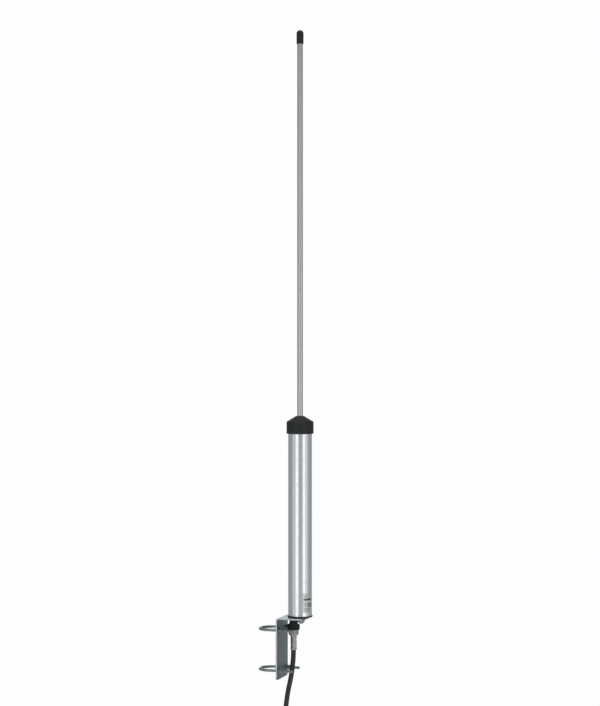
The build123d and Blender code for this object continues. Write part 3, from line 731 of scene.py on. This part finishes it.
@dataclass
class MastBracket:
    """The folded plate and the two U-bolts that clamp it to a mast."""

    edge_radius: float = 0.00045
    edge_steps: int = 2
    edge_angle: float = math.radians(38.0)
    flat_angle: float = math.radians(0.4)
    merge_gap: float = 0.000002
    flat_weight: int = 100

    def build(self, materials: dict[str, bpy.types.Material]) -> list[bpy.types.Object]:
        """Builds the plate with its rounded edges and the two U-bolts.

        Args:
            materials: the finished materials by slot.

        Returns:
            The pieces.
        """
        plate = self._plate()
        dress(plate, "antenna", "galvanised_steel", materials, "bracket")
        rods = [
            ThreadedUBolt(f"{level}_u_bolt", f"{level}_u_bolt").build(materials)
            for level in ("upper", "lower")
        ]
        return [plate, *rods]

    def _plate(self) -> bpy.types.Object:
        """The node's own shape, with its edges rounded as the zinc leaves them.

        Returns:
            The piece.
        """
        mesh = bpy.data.meshes.new("bracket_plate")
        work = bmesh.new()
        work.from_mesh(frame["nodes"]["bracket"].data)
        bmesh.ops.remove_doubles(work, verts=work.verts, dist=self.merge_gap)
        bmesh.ops.dissolve_limit(
            work, angle_limit=self.flat_angle, verts=work.verts, edges=work.edges
        )
        work.to_mesh(mesh)
        work.free()
        mesh.polygons.foreach_set("use_smooth", np.ones(len(mesh.polygons), bool))
        piece = bpy.data.objects.new("bracket_plate", mesh)
        bpy.context.scene.collection.objects.link(piece)
        bevel = piece.modifiers.new("worn edges", "BEVEL")
        bevel.width = self.edge_radius
        bevel.segments = self.edge_steps
        bevel.limit_method = "ANGLE"
        bevel.angle_limit = self.edge_angle
        flats = piece.modifiers.new("even flats", "WEIGHTED_NORMAL")
        flats.weight = self.flat_weight
        flats.keep_sharp = True
        return piece


# ----------------------------------------------------------------------------- the feeder's parts


class Facing(Enum):
    """Which way a plug's mouth looks."""

    UP = 1
    DOWN = -1


@dataclass
class CrimpPlug:
    """A crimp plug of the feeder tail: its knurled nut, its ribbed grip and its crimped ferrule.

    Distances along the plug are measured from the seat, against the way that its mouth looks.
    knurl_columns, thread_rows and grip_columns are counts for one knurl, one turn and one rib.
    """

    prefix: str
    body: str
    facing: Facing
    mouth_reach: float = 0.008
    thread_step: float = 0.0011
    thread_turns: int = 8
    thread_depth: float = 0.00045
    thread_radius: float = 0.008
    inner_radius: float = 0.0067
    inner_start: float = 0.0029
    nut_radius: float = 0.0107
    knurl_stop: float = 0.0128
    knurl_count: int = 44
    knurl_depth: float = 0.00035
    nut_stop: float = 0.0135
    taper_stop: float = 0.0165
    taper_radius: float = 0.0086
    knurl_rows: int = 96
    knurl_columns: int = 6
    knurl_sharpness: float = 2.2
    thread_rows: int = 8
    thread_start: float = 0.0008
    thread_gap: float = 0.0004
    rim: float = 0.0006
    grip_ribs: int = 28
    grip_columns: int = 8
    grip_rows: int = 25
    grip_depth: float = 0.0007
    grip_corner: float = 0.0009
    grip_plain: float = 0.6
    grip_gap: float = 0.00002
    ferrule_flats: float = 0.0056
    ferrule_columns: int = 96
    ferrule_rows: int = 90
    ferrule_ease: float = 0.985
    ferrule_closes: tuple[tuple[float, float], ...] = ((0.12, 0.46), (0.54, 0.88))
    ferrule_slope: float = 0.025
    ferrule_corner: float = 0.0005
    ferrule_chamfer: float = 0.0003
    ferrule_wall: float = 0.00118

    def build(self, materials: dict[str, bpy.types.Material]) -> list[bpy.types.Object]:
        """Builds the three shaped pieces.

        Args:
            materials: the finished materials by slot.

        Returns:
            The pieces.
        """
        shapes = (
            ("coupling_nut", self._nut(), "nickel_plated_brass", self.body),
            ("grip", self._grip(), "black_rubber", self.body),
            ("ferrule", self._ferrule(), "nickel_plated_brass", "antenna"),
        )
        pieces = []
        for name, grid, slot, body in shapes:
            node = f"{self.prefix}_{name}"
            piece = surface_piece(f"{node}_shaped", grid, ring=True)
            pieces.append(dress(piece, body, slot, materials, node))
        return pieces

    def _place(self, node: str, radii: np.ndarray, reach: np.ndarray) -> np.ndarray:
        """Turns radii along the plug into points on the node's axis.

        Args:
            node: the node whose box gives the place.
            radii: the radius of each row and column.
            reach: the distance of each row from the node's mouth end.

        Returns:
            The points.
        """
        low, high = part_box(f"{self.prefix}_{node}")
        centre = ((low.x + high.x) / 2, (low.y + high.y) / 2)
        if self.facing is Facing.UP:
            return upright_grid(radii[::-1], (high.z - reach)[::-1], centre)
        return upright_grid(radii, low.z + reach, centre)

    def _nut(self) -> np.ndarray:
        """The coupling nut: a diamond knurl outside and a thread in its mouth.

        Outside, the radius is the nut's less depth x the greater of two straight-sided waves that
        wind up and down it, sharpened to grooves. Inside the mouth it is the thread's plus depth x
        one wave that winds.

        Returns:
            The points.
        """
        angles = round_angles(self.knurl_count * self.knurl_columns)
        plain = np.ones_like(angles)
        end = self.mouth_reach + self.taper_stop
        step = FULL_TURN * self.nut_radius / self.knurl_count
        knurl = np.linspace(self.rim, self.mouth_reach + self.knurl_stop, self.knurl_rows)
        turns = angles * self.knurl_count / FULL_TURN
        rise = knurl[:, None] / step
        waves = np.maximum(1 - saw(turns + rise), 1 - saw(turns - rise))
        edge = np.minimum(knurl - knurl[0], knurl[-1] - knurl) / self.rim
        groove = np.clip(waves * self.knurl_sharpness - (self.knurl_sharpness - 1), 0, 1)
        cut = np.clip(edge, 0, 1)[:, None] * groove
        outside = self.nut_radius - self.knurl_depth * cut
        inside_start = self.mouth_reach + self.inner_start
        thread = np.linspace(
            inside_start - self.thread_gap, self.thread_start, self.thread_turns * self.thread_rows
        )
        wave = saw(thread[:, None] / self.thread_step - angles / FULL_TURN)
        bore = self.thread_radius + self.thread_depth * wave
        radii = [
            (self.nut_radius - self.rim) * plain[None],
            outside,
            self.nut_radius * plain[None],
            self.taper_radius * plain[None],
            self.inner_radius * plain[None],
            self.inner_radius * plain[None],
            self.thread_radius * plain[None],
            bore,
            (self.thread_radius + self.rim) * plain[None],
        ]
        reach = [
            [0.0], knurl, [self.mouth_reach + self.nut_stop], [end], [end], [inside_start],
            [inside_start], thread, [0.0],
        ]
        return self._place("coupling_nut", np.concatenate(radii), np.concatenate(reach))

    def _grip(self) -> np.ndarray:
        """The grip ring: ribs that run along it, with rounded ends.

        The outside radius is the ring's less depth x (1 - cosine of the rib count x angle) / 2,
        and the ends fall away as a quarter circle does.

        Returns:
            The points.
        """
        low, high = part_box(f"{self.prefix}_grip")
        radius, length = (high.x - low.x) / 2, high.z - low.z
        angles = round_angles(self.grip_ribs * self.grip_columns)
        rib = (1 - np.cos(angles * self.grip_ribs)) / 2
        share = np.linspace(0.0, math.pi, self.grip_rows)
        reach = length * (1 - np.cos(share)) / 2
        from_end = np.minimum(reach, length - reach) / self.grip_corner
        fall = np.clip(1 - np.clip(1 - from_end, 0, 1) ** 2, 0, 1)
        drop = self.grip_corner * (1 - np.sqrt(fall))
        ends = np.clip(from_end - self.grip_plain, 0, 1)[:, None]
        outside = radius - drop[:, None] - self.grip_depth * rib * ends
        inside = np.full((2, len(angles)), self.nut_radius + self.grip_gap)
        radii = np.concatenate([outside, inside])
        return self._place("grip", radii, np.concatenate([reach, [length, 0.0]]))

    def _ferrule(self) -> np.ndarray:
        """The ferrule: a sleeve that two closes of a six-sided die have flattened.

        The die's radius at angle a is flats / cos(a folded into one sixth of a turn about the
        flat's middle), never more than the sleeve's own. Where the die has closed, the sleeve takes
        it, and a short slope joins it to the round parts.

        Returns:
            The points.
        """
        low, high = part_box(f"{self.prefix}_ferrule")
        radius, length = (high.x - low.x) / 2, high.z - low.z
        angles = round_angles(self.ferrule_columns)
        sixth = FULL_TURN / 6
        folded = np.mod(angles + sixth / 2, sixth) - sixth / 2
        die = np.minimum(self.ferrule_flats / np.cos(folded), radius * self.ferrule_ease)
        reach = np.linspace(0.0, length, self.ferrule_rows)
        share = reach / length
        closed = np.zeros_like(share)
        for start, stop in self.ferrule_closes:
            from_side = np.minimum(share - start, stop - share)
            closed += np.clip(from_side / self.ferrule_slope, 0, 1)
        ends = np.clip(np.minimum(reach, length - reach) / self.ferrule_corner, 0, 1)
        whole = radius - self.ferrule_chamfer * (1 - ends)[:, None]
        outside = whole + (die - radius) * closed[:, None]
        inside = np.full((2, len(angles)), radius - self.ferrule_wall)
        radii = np.concatenate([outside, inside])
        return self._place("ferrule", radii, np.concatenate([reach, [length, 0.0]]))


@dataclass
class FeederTail:
    """The coaxial tail: its cable, and the plugs on its two ends."""

    diameter: float = 0.0103
    length: float = 0.373
    order: int = 3
    steps: int = 16
    roundness: int = 8
    route: tuple[tuple[float, float, float], ...] = (
        (0.050962, -0.00695, 0.0145),
        (0.050962, -0.00695, -0.014),
        (0.0463, -0.007, -0.0537),
        (0.0368, -0.0067, -0.0945),
        (0.0324, -0.0061, -0.134),
        (0.0322, -0.0056, -0.182),
        (0.0342, -0.0053, -0.244),
        (0.0362, -0.0055, -0.301),
        (0.0362, -0.0055, -0.357),
    )

    def lay(self, materials: dict[str, bpy.types.Material]) -> bpy.types.Object:
        """Args:
            materials: the finished materials by slot.

        Returns:
            The cable.
        """
        curve = bpy.data.curves.new("cable_run", "CURVE")
        curve.dimensions = "3D"
        spline = curve.splines.new("NURBS")
        spline.points.add(len(self.route) - 1)
        flat = np.column_stack([np.array(self.route), np.ones(len(self.route))]).ravel()
        spline.points.foreach_set("co", flat)
        spline.order_u = self.order
        spline.use_endpoint_u = True
        spline.resolution_u = self.steps
        curve.bevel_depth = self.diameter / 2
        curve.bevel_resolution = self.roundness
        curve.use_fill_caps = True
        cable = bpy.data.objects.new("cable_run", curve)
        bpy.context.scene.collection.objects.link(cable)
        dress(cable, "antenna", "cable_jacket", materials, "cable")
        return cable

    def plugs(self, materials: dict[str, bpy.types.Material]) -> list[bpy.types.Object]:
        """Builds the two plugs' shaped pieces.

        Args:
            materials: the finished materials by slot.

        Returns:
            The pieces.
        """
        feeder = CrimpPlug("feeder_plug", "feeder_coupling_nut", Facing.UP)
        line = CrimpPlug("line_plug", "line_coupling_nut", Facing.DOWN)
        return [*feeder.build(materials), *line.build(materials)]


# ------------------------------------------------------------------------------------ the studio


@dataclass(frozen=True)
class Strip:
    """One tall soft light that looks at the antenna.

    turn is its direction from the camera's in degrees, to the camera's right, distance how far it
    stands from the antenna, level the height of its middle, and power its power in watts.
    """

    name: str
    turn: float
    distance: float
    level: float
    width: float
    height: float
    power: float


@dataclass
class Studio:
    """A plain pale floor, soft lights and the camera.

    floor_fade holds the shares of the floor's radius between which it fades out.
    """

    camera_turn: float = math.radians(17.0)
    camera_distance: float = 4.0
    camera_level: float = 0.6245
    camera_side: float = 0.06015
    lens: float = 96.46
    sensor: float = 36.0
    floor_level: float = -0.45
    floor_radius: float = 1.5
    backdrop: tuple[float, float, float] = (0.985, 0.985, 0.985)
    surround: tuple[float, float, float] = (0.36, 0.375, 0.385)
    floor_sides: int = 96
    floor_fade: tuple[float, float] = (0.5, 0.98)
    floor_clouds: float = 3.0
    floor_tones: tuple[float, float] = (0.88, 0.90)
    floor_roughness: float = 0.8
    floor_glow: float = 0.22
    aim: tuple[float, float, float] = (0.05, 0.0, 0.55)
    strips: tuple[Strip, ...] = (
        Strip("left strip", -29.0, 3.0, 0.1, 0.8, 2.9, 15.5),
        Strip("left wing", -62.0, 3.0, 0.1, 1.4, 2.9, 5.2),
        Strip("right strip", 38.0, 3.0, 0.1, 0.75, 2.9, 14.5),
        Strip("right wing", 66.0, 3.0, 0.1, 1.4, 2.9, 6.5),
        Strip("back panel", 180.0, 3.2, 0.6, 1.5, 3.2, 27.0),
        Strip("top light", 5.0, 0.7, 3.4, 2.2, 2.2, 30.0),
    )

    def place_camera(self) -> None:
        """Sets the camera level with the middle of the antenna, a little to one side of it."""
        back = Vector((math.sin(self.camera_turn), -math.cos(self.camera_turn), 0.0))
        side = Vector((math.cos(self.camera_turn), math.sin(self.camera_turn), 0.0))
        data = bpy.data.cameras.new("camera")
        data.lens = self.lens
        data.sensor_width = self.sensor
        camera = bpy.data.objects.new("camera", data)
        bpy.context.scene.collection.objects.link(camera)
        camera.location = back * self.camera_distance + side * self.camera_side
        camera.location.z = self.camera_level
        camera.rotation_mode = "QUATERNION"
        camera.rotation_quaternion = (-back).to_track_quat("-Z", "Y")
        bpy.context.scene.camera = camera
        bpy.context.scene.view_settings.view_transform = "Standard"

    def add_strip(self, strip: Strip) -> None:
        """Adds one light and turns it to the antenna.

        Args:
            strip: the light's place, size and power.
        """
        data = bpy.data.lights.new(strip.name, "AREA")
        data.shape = "RECTANGLE"
        data.size, data.size_y = strip.width, strip.height
        data.energy = strip.power
        light = bpy.data.objects.new(strip.name, data)
        light.visible_camera = False
        bpy.context.scene.collection.objects.link(light)
        angle = self.camera_turn + math.radians(strip.turn)
        light.location = (
            strip.distance * math.sin(angle) + self.aim[0],
            -strip.distance * math.cos(angle),
            strip.level,
        )
        aim = Vector(self.aim) - light.location
        light.rotation_mode = "QUATERNION"
        light.rotation_quaternion = aim.to_track_quat("-Z", "Y")

    def light(self) -> None:
        """Adds the lights, the surround and the floor."""
        for strip in self.strips:
            self.add_strip(strip)
        self._surround()
        self._floor()

    def _surround(self) -> None:
        """A pale backdrop, which lights the antenna as a darker grey room does."""
        world = bpy.data.worlds.new("surround")
        bpy.context.scene.world = world
        world.use_nodes = True
        tree = world.node_tree
        tree.nodes.clear()
        path = tree.nodes.new("ShaderNodeLightPath")
        seen, room = (tree.nodes.new("ShaderNodeBackground") for _ in range(2))
        seen.inputs["Color"].default_value = (*self.backdrop, 1.0)
        room.inputs["Color"].default_value = (*self.surround, 1.0)
        mix = tree.nodes.new("ShaderNodeMixShader")
        output = tree.nodes.new("ShaderNodeOutputWorld")
        tree.links.new(path.outputs["Is Camera Ray"], mix.inputs[0])
        tree.links.new(room.outputs[0], mix.inputs[1])
        tree.links.new(seen.outputs[0], mix.inputs[2])
        tree.links.new(mix.outputs[0], output.inputs["Surface"])

    def _floor(self) -> None:
        """A round pale floor that fades into the backdrop at its rim."""
        angles = round_angles(self.floor_sides)
        rim = np.stack([np.cos(angles), np.sin(angles), np.zeros_like(angles)], -1)
        rim *= self.floor_radius
        rim[:, 2] = self.floor_level
        mesh = bpy.data.meshes.new("floor")
        mesh.from_pydata(rim.tolist(), [], [list(range(len(rim)))])
        graph = ShaderGraph("floor")
        coordinates = graph.add("ShaderNodeTexCoord")
        flat = graph.add("ShaderNodeMapping")
        flat.inputs["Scale"].default_value = (1.0, 1.0, 0.0)
        graph.join(coordinates.outputs["Object"], flat.inputs["Vector"])
        length = graph.add("ShaderNodeVectorMath", operation="LENGTH")
        graph.join(flat.outputs["Vector"], length.inputs[0])
        near, far = (self.floor_radius * share for share in self.floor_fade)
        solid = graph.spread(length.outputs["Value"], (near, far), (1.0, 0.0))
        graph.join(solid, graph.shader.inputs["Alpha"])
        low, high = ((tone,) * 3 for tone in self.floor_tones)
        tone = graph.blend(graph.noise(self.floor_clouds), low, high)
        graph.join(tone, graph.shader.inputs["Base Color"])
        graph.shader.inputs["Roughness"].default_value = self.floor_roughness
        graph.shader.inputs["Emission Color"].default_value = (1.0, 1.0, 1.0, 1.0)
        graph.shader.inputs["Emission Strength"].default_value = self.floor_glow
        mesh.materials.append(graph.material)
        floor = bpy.data.objects.new("floor", mesh)
        bpy.context.scene.collection.objects.link(floor)


# ---------------------------------------------------------------------------- dressing the pieces


def dress(
    piece: bpy.types.Object,
    body: str,
    slot: str,
    materials: dict[str, bpy.types.Material],
    *nodes: str,
) -> bpy.types.Object:
    """Gives a new piece its body and its finish, and hides the nodes that it replaces.

    Args:
        piece: the new piece.
        body: the body that it moves with.
        slot: the record's material slot.
        materials: the finished materials by slot.
        nodes: the nodes that it replaces.

    Returns:
        The same piece.
    """
    piece.data.materials.clear()
    piece.data.materials.append(materials[slot])
    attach(piece, body)
    if nodes:
        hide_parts(*nodes)
    return piece


def dress_nodes(materials: dict[str, bpy.types.Material]) -> int:
    """Gives every CAD node the material of its slot.

    Args:
        materials: the finished materials by slot.

    Returns:
        How many nodes were dressed.
    """
    parts = frame["record"]["subparts"]
    for part in parts:
        node = frame["nodes"][part["node"]]
        for place in node.material_slots:
            place.material = materials[part["material_slot"]]
        if not node.material_slots:
            node.data.materials.append(materials[part["material_slot"]])
    return len(parts)


def main() -> None:
    """Builds the antenna's looks in order."""
    logging.basicConfig(level=logging.INFO, format="%(name)s: %(message)s")
    studio = Studio()
    studio.place_camera()
    materials = FINISHES.materials()
    tail = FeederTail()
    cable = tail.lay(materials)
    log.info("dressed %d nodes", dress_nodes(materials))
    plugs = tail.plugs(materials)
    pieces = [cable, *plugs, *MastBracket().build(materials)]
    studio.light()


if __name__ == "__main__":
    main()
